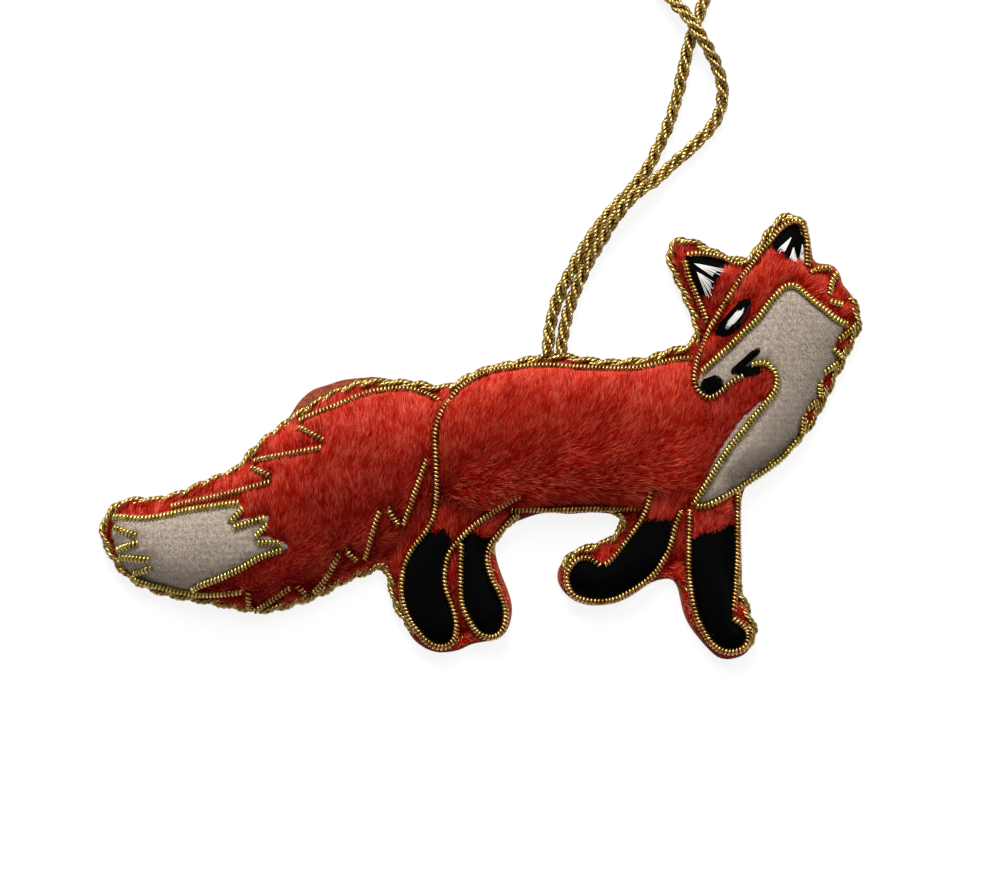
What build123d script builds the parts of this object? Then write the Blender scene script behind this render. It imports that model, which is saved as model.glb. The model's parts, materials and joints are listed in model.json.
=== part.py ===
from build123d import *
from math import cos, radians, sin, tan
import os

# A stuffed fox ornament of red plush, lying on its felt back, seen with its head to the right.
# All lengths are millimetres. +X runs from the tail to the muzzle, +Y from the paws to the ears,
# +Z from the flat back to the crown of the front. A share is a part of fox_length, counted from
# the middle of the outline, unless its name says otherwise.

# The whole fox
fox_length = 135.0

# Heights of the front above the surface it lies on, one for each stuffed lobe
body_height = 12.0
tail_height = 11.0
head_height = 9.5
hind_leg_height = 5.8
foreleg_height = 5.6
ear_height = 5.2

# Cloth
back_thickness = 1.0
plush_thickness = 1.2
seam_height = 0.4
seam_allowance = 1.0
seam_setback = 0.3
felt_thickness = 0.8
stocking_thickness = 0.5
stitch_thickness = 0.4

# Metal cords and wires
edge_cord_diameter = 2.2
loop_cord_diameter = 2.0
purl_diameter = 1.25

# Clearances
cord_gap = 0.15
purl_gap = 0.3
surface_gap = 0.3

# How far a cord's bends reach along its runs
bend_share = 0.45

# Flat sides: of a wire's and a cord's section, and of the arch across a lobe
wire_sides = 6
cord_sides = 6
arch_sides = 8

edge_cord_radius = edge_cord_diameter / 2
edge_cord_height = edge_cord_radius + surface_gap
loop_cord_radius = loop_cord_diameter / 2
purl_radius = purl_diameter / 2
shortest_run = 2 * purl_diameter
rim = edge_cord_diameter + cord_gap
tallest = 2 * body_height

# Outer silhouette with its edge cord, clockwise from the tip of the tail, as shares of fox_length
silhouette_shares = [
    (-0.501, -0.128), (-0.495, -0.098), (-0.472, -0.081), (-0.420, -0.078), (-0.370, -0.060),
    (-0.318, -0.036), (-0.288, -0.004), (-0.250, 0.028), (-0.222, 0.060), (-0.185, 0.071),
    (-0.135, 0.079), (-0.070, 0.068), (-0.042, 0.070), (-0.005, 0.087), (0.040, 0.099),
    (0.095, 0.110), (0.165, 0.101), (0.215, 0.104), (0.262, 0.118), (0.280, 0.132),
    (0.270, 0.162), (0.257, 0.192), (0.243, 0.220), (0.240, 0.250), (0.262, 0.262),
    (0.288, 0.257), (0.330, 0.233), (0.351, 0.232), (0.368, 0.262), (0.392, 0.290),
    (0.417, 0.291), (0.431, 0.273), (0.433, 0.235), (0.443, 0.222), (0.468, 0.222),
    (0.474, 0.198), (0.491, 0.184), (0.501, 0.152), (0.490, 0.118), (0.466, 0.062),
    (0.440, 0.014), (0.422, -0.014), (0.385, -0.043), (0.344, -0.069), (0.340, -0.110),
    (0.341, -0.175), (0.349, -0.212), (0.366, -0.250), (0.358, -0.280), (0.336, -0.293),
    (0.308, -0.292), (0.285, -0.264), (0.267, -0.240), (0.260, -0.205), (0.249, -0.186),
    (0.222, -0.193), (0.185, -0.217), (0.142, -0.227), (0.110, -0.210), (0.098, -0.185),
    (0.105, -0.160), (0.130, -0.143), (0.168, -0.134), (0.184, -0.112), (0.150, -0.100),
    (0.095, -0.101), (0.050, -0.113), (0.020, -0.145), (0.024, -0.178), (0.042, -0.218),
    (0.040, -0.254), (0.018, -0.270), (-0.015, -0.273), (-0.055, -0.288), (-0.087, -0.272),
    (-0.111, -0.243), (-0.124, -0.207), (-0.148, -0.184), (-0.200, -0.211), (-0.262, -0.234),
    (-0.320, -0.232), (-0.380, -0.221), (-0.440, -0.203), (-0.480, -0.175),
]

# Stations of each lobe, from one end to the other: the two ends of the section across it,
# then how far its crown rises, as a share of the lobe's height above the seam
tail_shares = [
    (-0.048, 0.066, -0.048, -0.105, 0.66),
    (-0.100, 0.076, -0.100, -0.150, 0.92),
    (-0.160, 0.077, -0.160, -0.190, 1.0),
    (-0.220, 0.062, -0.220, -0.220, 1.0),
    (-0.280, 0.004, -0.280, -0.236, 1.0),
    (-0.340, -0.046, -0.340, -0.229, 0.93),
    (-0.400, -0.072, -0.400, -0.218, 0.82),
    (-0.455, -0.080, -0.455, -0.197, 0.62),
    (-0.497, -0.085, -0.497, -0.175, 0.25),
]
body_shares = [
    (-0.074, 0.062, -0.074, -0.110, 0.66),
    (-0.030, 0.076, -0.030, -0.116, 0.90),
    (0.030, 0.098, 0.030, -0.114, 1.0),
    (0.100, 0.111, 0.100, -0.106, 1.0),
    (0.180, 0.103, 0.180, -0.104, 1.0),
    (0.240, 0.115, 0.240, -0.110, 0.82),
    (0.298, 0.116, 0.298, -0.104, 0.40),
]
head_shares = [
    (0.250, -0.112, 0.352, -0.112, 0.40),
    (0.250, -0.070, 0.356, -0.062, 0.72),
    (0.252, -0.020, 0.416, -0.020, 0.90),
    (0.255, 0.030, 0.450, 0.030, 0.97),
    (0.258, 0.080, 0.476, 0.080, 1.0),
    (0.262, 0.130, 0.498, 0.130, 1.0),
    (0.275, 0.170, 0.503, 0.170, 0.96),
    (0.292, 0.206, 0.478, 0.206, 0.78),
    (0.312, 0.236, 0.448, 0.236, 0.30),
]
near_hind_leg_shares = [
    (-0.085, -0.070, 0.045, -0.040, 0.90),
    (-0.112, -0.130, 0.004, -0.100, 1.0),
    (-0.126, -0.170, -0.020, -0.155, 1.0),
    (-0.128, -0.210, -0.020, -0.210, 1.0),
    (-0.116, -0.248, -0.010, -0.242, 0.92),
    (-0.098, -0.274, -0.008, -0.274, 0.62),
    (-0.090, -0.294, -0.014, -0.294, 0.25),
]
far_hind_leg_shares = [
    (-0.055, -0.070, 0.095, -0.070, 0.60),
    (-0.060, -0.112, 0.060, -0.112, 0.80),
    (-0.062, -0.150, 0.024, -0.150, 0.90),
    (-0.064, -0.185, 0.030, -0.185, 0.92),
    (-0.060, -0.220, 0.045, -0.220, 0.92),
    (-0.056, -0.252, 0.044, -0.252, 0.78),
    (-0.052, -0.280, 0.036, -0.280, 0.25),
]
near_foreleg_shares = [
    (0.196, -0.040, 0.292, -0.052, 0.90),
    (0.188, -0.092, 0.280, -0.120, 1.0),
    (0.176, -0.126, 0.262, -0.172, 1.0),
    (0.158, -0.138, 0.226, -0.208, 0.94),
    (0.132, -0.138, 0.168, -0.230, 0.86),
    (0.100, -0.150, 0.106, -0.222, 0.45),
]
far_foreleg_shares = [
    (0.232, -0.060, 0.348, -0.060, 0.70),
    (0.240, -0.120, 0.344, -0.110, 0.92),
    (0.244, -0.185, 0.344, -0.178, 1.0),
    (0.254, -0.218, 0.354, -0.212, 1.0),
    (0.268, -0.252, 0.368, -0.246, 0.92),
    (0.282, -0.276, 0.366, -0.276, 0.62),
    (0.292, -0.298, 0.356, -0.298, 0.25),
]
near_ear_shares = [
    (0.232, 0.236, 0.262, 0.268, 0.30),
    (0.240, 0.200, 0.290, 0.262, 0.80),
    (0.256, 0.165, 0.330, 0.240, 1.0),
    (0.286, 0.130, 0.362, 0.222, 1.0),
]
far_ear_shares = [
    (0.382, 0.296, 0.432, 0.296, 0.40),
    (0.362, 0.266, 0.440, 0.266, 0.86),
    (0.346, 0.234, 0.442, 0.234, 1.0),
    (0.346, 0.200, 0.448, 0.200, 1.0),
]

# Each lobe: its stations, its height, how many stations at its free end hold no stuffing,
# and the larger lobes that it is cut by
lobes = {
    "body": (body_shares, body_height, 0, []),
    "tail": (tail_shares, tail_height, 1, ["body"]),
    "head": (head_shares, head_height, 1, ["body"]),
    "near_hind_leg": (near_hind_leg_shares, hind_leg_height, 2, ["body", "tail"]),
    "far_hind_leg": (far_hind_leg_shares, hind_leg_height, 2, ["body", "tail", "near_hind_leg"]),
    "far_foreleg": (far_foreleg_shares, foreleg_height, 2, ["body", "head"]),
    "near_foreleg": (near_foreleg_shares, foreleg_height, 1, ["body", "head", "far_foreleg"]),
    "near_ear": (near_ear_shares, ear_height, 4, ["head", "body"]),
    "far_ear": (far_ear_shares, ear_height, 4, ["head"]),
}

# Outlines of the felt patches and the black stockings, as shares of fox_length
tail_tip_shares = [
    (-0.479, -0.106), (-0.440, -0.103), (-0.400, -0.098), (-0.360, -0.090), (-0.320, -0.084),
    (-0.310, -0.094), (-0.326, -0.112), (-0.276, -0.102), (-0.292, -0.134), (-0.248, -0.146),
    (-0.300, -0.170), (-0.345, -0.193), (-0.378, -0.206), (-0.440, -0.198), (-0.458, -0.189),
    (-0.475, -0.156),
]
chest_shares = [
    (0.300, 0.104), (0.312, 0.108), (0.345, 0.140), (0.372, 0.168), (0.402, 0.200),
    (0.424, 0.190), (0.456, 0.162), (0.481, 0.149), (0.483, 0.141), (0.466, 0.122),
    (0.458, 0.108), (0.468, 0.096), (0.450, 0.078), (0.440, 0.046), (0.424, 0.028),
    (0.418, -0.004), (0.384, -0.038), (0.344, -0.064), (0.302, -0.088), (0.282, -0.090),
    (0.292, -0.064), (0.312, -0.030), (0.334, -0.004), (0.362, 0.034), (0.380, 0.062),
    (0.380, 0.084), (0.362, 0.092), (0.330, 0.078), (0.302, 0.050), (0.284, 0.066),
]
near_hind_stocking_shares = [
    (-0.072, -0.132), (-0.056, -0.128), (-0.040, -0.134), (-0.044, -0.160), (-0.050, -0.188),
    (-0.046, -0.210), (-0.036, -0.240), (-0.036, -0.256), (-0.050, -0.272), (-0.070, -0.264),
    (-0.090, -0.236), (-0.098, -0.206), (-0.094, -0.172), (-0.082, -0.148),
]
far_hind_stocking_shares = [
    (-0.018, -0.134), (0.006, -0.136), (0.004, -0.160), (0.008, -0.184), (0.018, -0.206),
    (0.028, -0.236), (0.018, -0.258), (0.002, -0.254), (-0.016, -0.226), (-0.022, -0.190),
    (-0.020, -0.160),
]
near_foreleg_stocking_shares = [
    (0.208, -0.122), (0.228, -0.112), (0.248, -0.116), (0.244, -0.146), (0.232, -0.168),
    (0.204, -0.192), (0.170, -0.210), (0.134, -0.208), (0.120, -0.192), (0.130, -0.170),
    (0.152, -0.176), (0.172, -0.176), (0.194, -0.148),
]
far_foreleg_stocking_shares = [
    (0.280, -0.138), (0.306, -0.130), (0.331, -0.118), (0.330, -0.160), (0.329, -0.206),
    (0.322, -0.236), (0.338, -0.254), (0.340, -0.272), (0.318, -0.278), (0.302, -0.262),
    (0.288, -0.230), (0.280, -0.190),
]

# Outlines of the face and ear stitching, as shares of fox_length
eye_shares = [(0.308, 0.140), (0.322, 0.136), (0.344, 0.152), (0.356, 0.170), (0.350, 0.182),
              (0.334, 0.176), (0.316, 0.160)]
glint_shares = [(0.320, 0.143), (0.326, 0.141), (0.344, 0.158), (0.342, 0.165), (0.332, 0.158)]
nose_shares = [(0.289, 0.074), (0.294, 0.062), (0.305, 0.056), (0.317, 0.064), (0.314, 0.073),
               (0.301, 0.079)]
mouth_shares = [
    [(0.326, 0.088), (0.336, 0.082), (0.352, 0.094), (0.368, 0.110), (0.364, 0.115), (0.344, 0.102)],
    [(0.334, 0.080), (0.352, 0.081), (0.374, 0.083), (0.373, 0.088), (0.352, 0.087), (0.338, 0.085)],
]
near_ear_lining_shares = [(0.270, 0.232), (0.276, 0.212), (0.290, 0.182), (0.298, 0.184),
                          (0.294, 0.206), (0.318, 0.218), (0.318, 0.226), (0.292, 0.232)]
far_ear_lining_shares = [(0.419, 0.277), (0.398, 0.266), (0.382, 0.246), (0.384, 0.234),
                         (0.398, 0.226), (0.418, 0.228), (0.424, 0.250)]

# Each layer: the lobe it lies on, its outlines, where its underside lies above the plush, its thickness
layers = {
    "tail_tip_felt": ("tail", [tail_tip_shares], 0, felt_thickness),
    "chest_felt": ("head", [chest_shares], 0, felt_thickness),
    "near_hind_stocking": ("near_hind_leg", [near_hind_stocking_shares], 0, stocking_thickness),
    "far_hind_stocking": ("far_hind_leg", [far_hind_stocking_shares], 0, stocking_thickness),
    "near_foreleg_stocking": ("near_foreleg", [near_foreleg_stocking_shares], 0, stocking_thickness),
    "far_foreleg_stocking": ("far_foreleg", [far_foreleg_stocking_shares], 0, stocking_thickness),
    "eye": ("head", [eye_shares], 0, stitch_thickness),
    "eye_glint": ("head", [glint_shares], stitch_thickness, stitch_thickness),
    "nose": ("head", [nose_shares], felt_thickness, stitch_thickness),
    "mouth": ("head", mouth_shares, felt_thickness, stitch_thickness),
    "near_ear_lining": ("near_ear", [near_ear_lining_shares], 0, stitch_thickness),
    "far_ear_lining": ("far_ear", [far_ear_lining_shares], 0, stitch_thickness),
}

# Centre lines of the gold purl wire, one list of lengths for each outline, as shares of fox_length
purl_shares = {
    "tail_tip_purl": [
        [(-0.480, -0.107), (-0.445, -0.110), (-0.400, -0.103), (-0.355, -0.093), (-0.317, -0.089)],
        [(-0.311, -0.096), (-0.328, -0.114)],
        [(-0.323, -0.121), (-0.283, -0.109)],
        [(-0.279, -0.117), (-0.295, -0.133)],
        [(-0.292, -0.141), (-0.261, -0.141)],
        [(-0.261, -0.151), (-0.295, -0.163), (-0.328, -0.182), (-0.360, -0.193), (-0.378, -0.203)],
        [(-0.479, -0.121), (-0.450, -0.132)],
        [(-0.448, -0.141), (-0.474, -0.150)],
        [(-0.472, -0.160), (-0.434, -0.163)],
        [(-0.431, -0.174), (-0.454, -0.182)],
        [(-0.453, -0.189), (-0.420, -0.198), (-0.390, -0.206)],
    ],
    "tail_stripe_purl": [
        [(-0.405, -0.094), (-0.350, -0.082), (-0.310, -0.072), (-0.275, -0.062)],
        [(-0.300, -0.043), (-0.275, -0.054)],
        [(-0.209, -0.017), (-0.245, -0.024), (-0.298, -0.035)],
        [(-0.238, 0.010), (-0.207, -0.006)],
        [(-0.304, -0.206), (-0.303, -0.227)],
        [(-0.296, -0.226), (-0.270, -0.211), (-0.251, -0.200)],
        [(-0.240, -0.197), (-0.228, -0.208)],
    ],
    "tail_top_purl": [
        [(-0.237, 0.018), (-0.200, 0.036), (-0.160, 0.052), (-0.110, 0.061), (-0.062, 0.049)],
    ],
    "tail_root_purl": [
        [(-0.071, -0.032), (-0.101, -0.117)],
        [(-0.108, -0.117), (-0.122, -0.096)],
        [(-0.133, -0.100), (-0.152, -0.160)],
        [(-0.162, -0.162), (-0.177, -0.150)],
        [(-0.186, -0.156), (-0.200, -0.184), (-0.218, -0.204)],
    ],
    "near_hind_leg_purl": [
        [(-0.043, 0.040), (-0.056, 0.018), (-0.060, -0.010), (-0.057, -0.050), (-0.060, -0.100),
         (-0.078, -0.136), (-0.098, -0.166), (-0.103, -0.200), (-0.094, -0.240), (-0.073, -0.268),
         (-0.052, -0.278), (-0.034, -0.266), (-0.033, -0.238), (-0.047, -0.203), (-0.045, -0.165),
         (-0.024, -0.132), (0.005, -0.108), (0.046, -0.081)],
    ],
    "back_purl": [
        [(-0.036, 0.052), (-0.014, 0.072), (0.020, 0.087), (0.070, 0.092), (0.130, 0.089),
         (0.195, 0.085), (0.236, 0.094), (0.270, 0.102)],
    ],
    "far_hind_leg_purl": [
        [(-0.025, -0.146), (-0.026, -0.185), (-0.021, -0.222), (-0.010, -0.252), (0.010, -0.266),
         (0.029, -0.256), (0.033, -0.234), (0.020, -0.200), (0.008, -0.168), (0.014, -0.140),
         (0.042, -0.107)],
    ],
    "belly_purl": [
        [(0.060, -0.092), (0.100, -0.096), (0.150, -0.095), (0.202, -0.092)],
    ],
    "near_foreleg_purl": [
        [(0.221, -0.080), (0.212, -0.110), (0.190, -0.142), (0.168, -0.166)],
        [(0.157, -0.170), (0.136, -0.161), (0.118, -0.172), (0.115, -0.196), (0.132, -0.215),
         (0.168, -0.217), (0.208, -0.199), (0.238, -0.168), (0.252, -0.132), (0.261, -0.104)],
    ],
    "far_foreleg_purl": [
        [(0.274, -0.104), (0.272, -0.150), (0.275, -0.200), (0.288, -0.250), (0.306, -0.276),
         (0.330, -0.285), (0.349, -0.270), (0.344, -0.248), (0.329, -0.239)],
        [(0.331, -0.228), (0.336, -0.170), (0.334, -0.110), (0.335, -0.078)],
    ],
    "chest_purl": [
        [(0.356, 0.093), (0.378, 0.092), (0.388, 0.072), (0.374, 0.043), (0.344, 0.006),
         (0.316, -0.032), (0.292, -0.070), (0.280, -0.090)],
        [(0.290, -0.094), (0.312, -0.084), (0.345, -0.064), (0.382, -0.040), (0.414, -0.006)],
    ],
    "ruff_purl": [
        [(0.421, 0.004), (0.423, 0.025)],
        [(0.428, 0.034), (0.440, 0.043)],
        [(0.445, 0.052), (0.446, 0.070)],
        [(0.451, 0.081), (0.467, 0.093)],
        [(0.470, 0.124), (0.488, 0.140)],
    ],
    "face_purl": [
        [(0.342, 0.077), (0.322, 0.064), (0.302, 0.048), (0.283, 0.060), (0.281, 0.086),
         (0.295, 0.122), (0.314, 0.162), (0.340, 0.203), (0.368, 0.240), (0.396, 0.272),
         (0.418, 0.279), (0.427, 0.258), (0.427, 0.226)],
    ],
    "cheek_purl": [
        [(0.292, 0.090), (0.326, 0.115), (0.362, 0.151), (0.386, 0.184), (0.406, 0.197),
         (0.426, 0.185), (0.456, 0.160), (0.480, 0.146)],
        [(0.433, 0.213), (0.446, 0.218), (0.458, 0.214)],
        [(0.464, 0.208), (0.456, 0.186)],
        [(0.459, 0.174), (0.474, 0.170)],
    ],
    "near_ear_purl": [
        [(0.343, 0.221), (0.326, 0.226), (0.302, 0.235), (0.272, 0.236)],
        [(0.268, 0.226), (0.277, 0.198), (0.290, 0.168), (0.298, 0.148)],
    ],
}

# The hanging loop, from behind the edge cord, up its left leg, round its top and down its right leg:
# each point is two shares of fox_length and its height in loop cord diameters above the surface
loop_route_shares = [
    (0.086, 0.111, 0.70), (0.092, 0.141, 0.58), (0.103, 0.181, 0.50), (0.121, 0.218, 0.50),
    (0.146, 0.258, 0.50), (0.170, 0.294, 0.50), (0.198, 0.326, 0.50), (0.226, 0.362, 0.50),
    (0.246, 0.402, 0.50), (0.259, 0.444, 0.50), (0.267, 0.484, 0.50), (0.276, 0.520, 0.50),
    (0.287, 0.553, 0.50), (0.297, 0.586, 0.50), (0.302, 0.621, 0.50), (0.297, 0.656, 0.50),
    (0.277, 0.684, 0.50), (0.245, 0.695, 0.50), (0.213, 0.685, 0.50), (0.193, 0.657, 0.50),
    (0.193, 0.623, 0.50), (0.210, 0.594, 0.50), (0.234, 0.571, 0.80), (0.255, 0.553, 1.40),
    (0.272, 0.533, 1.80), (0.286, 0.510, 1.80), (0.303, 0.482, 1.10), (0.313, 0.450, 0.60),
    (0.309, 0.420, 0.50), (0.289, 0.391, 0.50), (0.258, 0.362, 0.50), (0.228, 0.332, 0.50),
    (0.196, 0.297, 0.50), (0.166, 0.255, 0.50), (0.138, 0.212, 0.50), (0.117, 0.171, 0.50),
    (0.108, 0.140, 0.58), (0.108, 0.111, 0.70),
]


def place(u_share, v_share):
    return Vector(u_share * fox_length, v_share * fox_length)


def moved_in(points, distance):
    """The corners of a clockwise outline, moved square to its sides towards the inside."""
    corners = []
    for i, corner in enumerate(points):
        arriving = (corner - points[i - 1]).normalized()
        leaving = (points[(i + 1) % len(points)] - corner).normalized()
        inward = Vector(arriving.Y + leaving.Y, -arriving.X - leaving.X).normalized()
        half_turn = radians(arriving.get_angle(leaving)) / 2
        corners.append(corner + inward * (distance / cos(half_turn)))
    return corners


def bend_radii(points, closed):
    """The radius at each corner of a route, as large as its two runs allow."""
    count = len(points)
    radii = []
    for i in range(0 if closed else 1, count if closed else count - 1):
        arriving = points[i] - points[i - 1]
        leaving = points[(i + 1) % count] - points[i]
        half_turn = radians(arriving.get_angle(leaving)) / 2
        radii.append(bend_share * min(arriving.length, leaving.length) / tan(half_turn))
    return radii


def rounded_path(points, closed=False):
    """Straight runs joined by tangent arcs."""
    if len(points) == 2:
        return Wire(Line(*points).edges())
    return FilletPolyline(*points, radius=bend_radii(points, closed), close=closed).wire()


def tube(points, radius, sides):
    """A free cord, with straight runs joined by tangent arcs."""
    path = rounded_path(points)
    section = Plane(origin=path @ 0, z_dir=path % 0) * RegularPolygon(radius, sides)
    return sweep(section, path)


def skinned(rings):
    """A solid in flat facets, from each ring of corners to the next."""
    facets = [rings[0], rings[-1]]
    for near, far in zip(rings, rings[1:]):
        for i in range(len(near)):
            facets += [[near[i - 1], near[i], far[i]], [near[i - 1], far[i], far[i - 1]]]
    return Solid(Shell([make_face(Polyline(*facet, close=True)) for facet in facets]))


def laid_wire(points, radius, sides):
    """A wire sewn down along its route, with a mitred corner at each point."""
    runs = [(end - start).normalized() for start, end in zip(points, points[1:])]
    rings = []
    for point, arriving, leaving in zip(points, [runs[0], *runs], [*runs, runs[-1]]):
        along = (arriving + leaving).normalized()
        level = Vector(-along.Y, along.X).normalized()
        above = along.cross(level)
        angles = [radians(360 * i / sides) for i in range(sides)]
        rings.append([point + (level * cos(a) + above * sin(a)) * radius for a in angles])
    return skinned(rings)


def cut_sheet(points, bottom, top):
    """An upright block with the sharp-cornered outline of a piece cut with scissors."""
    return extrude(Pos(0, 0, bottom) * make_face(Polyline(*points, close=True)), top - bottom)


def station(row, height, inset, lift):
    """Corners of one section across a lobe: upright sides, and an arch of under a half circle."""
    u_start, v_start, u_end, v_end, crown_share = row
    start = place(u_start, v_start)
    end = place(u_end, v_end)
    across = (end - start).normalized()
    start += across * inset
    end -= across * inset
    low = Vector(0, 0, -plush_thickness)
    spring = Vector(0, 0, back_thickness + seam_height + lift)
    crown = spring + Vector(0, 0, (height - back_thickness - seam_height) * crown_share)
    arch = ThreePointArc(end + spring, (start + end) / 2 + crown, start + spring)
    return [start + low, end + low] + [arch @ (i / arch_sides) for i in range(arch_sides + 1)]


def swelling(rows, height, wall=0):
    """The stuffed shape of a lobe, or of what lies inside it under a wall."""
    inset = rim - seam_allowance + wall
    return skinned([station(row, height, inset, -wall) for row in rows])


silhouette = [place(*point) for point in silhouette_shares]
cloth_outline = moved_in(silhouette, rim)
plush_outline = moved_in(silhouette, rim + seam_setback)
plush_block = cut_sheet(plush_outline, back_thickness, tallest)
above_back = Pos(0, 0, back_thickness) * Box(
    2 * fox_length, 2 * fox_length, tallest, align=(Align.CENTER, Align.CENTER, Align.MIN)
)
parts = {}

# Felt back, one flat piece
parts["back_panel"] = cut_sheet(cloth_outline, 0, back_thickness)

# Stuffing, one soft mass that fills the body, the tail, the head and the legs
stuffing = Part()
for name, (rows, height, unstuffed, _) in lobes.items():
    if unstuffed < len(rows):
        stuffing += swelling(rows[:len(rows) - unstuffed], height, plush_thickness) & above_back
stuffing &= plush_block
parts["stuffing"] = stuffing

# Plush front, a shell over the stuffing in nine lobes, each cut by the larger ones beside it
swells = {name: swelling(rows, height) for name, (rows, height, _, _) in lobes.items()}
for name, (_, _, _, larger) in lobes.items():
    lobe = (swells[name] & plush_block) - stuffing
    for other in larger:
        lobe -= swells[other]
    parts[name + "_plush"] = max(lobe.solids(), key=lambda solid: solid.volume)

# Felt patches, stockings and stitching, thin layers that follow the crown of the lobe under them
for name, (lobe, outlines, underside, thickness) in layers.items():
    cover = Part()
    for outline in outlines:
        cover += cut_sheet([place(*point) for point in outline], back_thickness, tallest)
    cover &= plush_block
    cover &= Pos(0, 0, underside + thickness) * swells[lobe]
    cover -= Pos(0, 0, underside) * swells[lobe]
    for other in lobes[lobe][3]:
        cover -= swells[other]
    parts[name] = cover

# What a wire has to clear: every lobe and layer, with its extent
clearable = [(shape, shape.bounding_box()) for shape in swells.values()]
clearable += [(parts[name], parts[name].bounding_box()) for name in layers]


def on_front(point):
    """A wire's centre over a point: clear of the front under its width, and of the edge cord's top."""
    heights = [edge_cord_height + edge_cord_radius]
    for x_share, y_share in [(0, 0), (1, 0), (0, 1), (-1, 0), (0, -1)]:
        under = point + Vector(x_share, y_share) * purl_radius
        ray = Axis((under.X, under.Y, tallest), (0, 0, -1))
        for shape, box in clearable:
            if box.min.X < under.X < box.max.X and box.min.Y < under.Y < box.max.Y:
                heights += [hit.Z for hit, _ in shape.find_intersection_points(ray)]
    return Vector(point.X, point.Y, max(heights) + purl_radius + purl_gap)


def laid(points):
    """The route of a wire over the front, with a further point wherever a run would cut into it."""
    route = [on_front(points[0])]
    for point in points[1:]:
        waiting = [on_front(point)]
        while waiting:
            middle = on_front((route[-1] + waiting[-1]) / 2)
            too_low = middle.Z - (route[-1].Z + waiting[-1].Z) / 2 > purl_gap / 2
            if too_low and (waiting[-1] - route[-1]).length > shortest_run:
                waiting.append(middle)
            else:
                route.append(waiting.pop())
    return route


# Purl wire, each length laid along the front on its own line
wire_length = 0
for name, lengths in purl_shares.items():
    wires = []
    for line in lengths:
        route = laid([place(*point) for point in line])
        wires.append(laid_wire(route, purl_radius, wire_sides))
        wire_length += Polyline(*route).length
    parts[name] = Part() + wires

# Twisted cord round the edge, in one closed ring
edge_route = [
    point + Vector(0, 0, edge_cord_height) for point in moved_in(silhouette, edge_cord_radius)
]
edge_path = Polyline(*edge_route, close=True)
edge_section = Plane(origin=edge_path @ 0, z_dir=edge_path % 0) * RegularPolygon(
    edge_cord_radius, cord_sides
)
parts["edge_cord"] = sweep(edge_section, edge_path, transition=Transition.RIGHT)

# Hanging loop of the thinner cord, laid on the surface and ending behind the edge cord
loop_route = [
    place(u_share, v_share) + Vector(0, 0, height_share * loop_cord_diameter)
    for u_share, v_share, height_share in loop_route_shares
]
parts["hanging_loop"] = tube(loop_route, loop_cord_radius, cord_sides)

print("loop radii", [round(radius, 1) for radius in bend_radii(loop_route, closed=False)])
print("loop length", round(rounded_path(loop_route).length, 1))
print("edge cord length", round(edge_path.length, 1))
print("purl wire length", round(wire_length, 1))

os.makedirs("parts", exist_ok=True)
for name, shape in parts.items():
    export_step(shape, f"parts/{name}.step")
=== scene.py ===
# %% [markdown]
# # A stuffed fox ornament
# The real ornament is a flat felt back with a red plush front sewn to it over loose stuffing. Gold
# purl wire, a close coil of gilt wire, is sewn over the plush along every outline, a twisted metal
# cord runs round the edge, and a thinner one makes the hanging loop. This script dresses the
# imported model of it. It could start from a photograph laid on a plane, but a flat picture has no
# depth from the side, so each cloth, thread and wire is made as a shape of its own.

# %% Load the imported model
import json
import math
import random

import bmesh
import bpy
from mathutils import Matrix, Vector, kdtree, noise
from mathutils.bvhtree import BVHTree

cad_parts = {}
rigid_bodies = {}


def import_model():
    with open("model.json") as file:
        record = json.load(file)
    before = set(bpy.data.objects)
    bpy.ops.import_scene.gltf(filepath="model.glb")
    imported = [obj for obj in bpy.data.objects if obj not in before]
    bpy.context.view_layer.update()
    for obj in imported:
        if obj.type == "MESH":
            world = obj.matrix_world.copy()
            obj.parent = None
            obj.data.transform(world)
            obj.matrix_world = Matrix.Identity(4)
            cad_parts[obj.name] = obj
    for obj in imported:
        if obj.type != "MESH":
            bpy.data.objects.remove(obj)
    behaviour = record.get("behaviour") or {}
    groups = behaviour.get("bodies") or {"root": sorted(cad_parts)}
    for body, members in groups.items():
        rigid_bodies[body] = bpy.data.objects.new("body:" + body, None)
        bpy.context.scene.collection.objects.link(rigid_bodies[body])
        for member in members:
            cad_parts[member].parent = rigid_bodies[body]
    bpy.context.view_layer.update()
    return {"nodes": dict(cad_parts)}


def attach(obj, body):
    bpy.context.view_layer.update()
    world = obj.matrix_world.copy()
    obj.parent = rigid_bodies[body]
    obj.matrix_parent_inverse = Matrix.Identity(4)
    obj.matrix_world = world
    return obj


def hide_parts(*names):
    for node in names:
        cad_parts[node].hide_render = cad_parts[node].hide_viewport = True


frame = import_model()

# %% [markdown]
# ## Sizes and places
# Every place on the fox was read as a thousandth of its length, counted from the middle of its
# outline, because such numbers stay right when the fox is made longer or shorter. One function
# turns them into metres, which is what Blender works in.

# %% Sizes in metres
MM = 0.001
FOX_LENGTH = 135.0 * MM
PURL_DIAMETER = 1.38 * MM
EDGE_CORD_DIAMETER = 2.1 * MM
LOOP_CORD_DIAMETER = 2.0 * MM
BACK_THICKNESS = 1.0 * MM
CORD_CENTRE_HEIGHT = 1.4 * MM
UP = Vector((0, 0, 1))
DOWN = Vector((0, 0, -1))

random.seed(7)
noise.seed_set(7)


def place(across, up, height=0.0):
    """A point given in thousandths of the fox's length, with its height in metres."""
    return Vector((across * FOX_LENGTH / 1000, up * FOX_LENGTH / 1000, height))


def trace(*numbers, each=2):
    """Readings along a line, written one after the other: across, up, across, up and so on."""
    return list(zip(*[iter(numbers)] * each))


print("the fox is", round(FOX_LENGTH / MM), "mm long")

# %% [markdown]
# ## Helpers for objects and materials
# A piece is a named object that moves with the fox's one body. Each shader node is added by one
# small function, so that a material reads as a short list of nodes.

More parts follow.
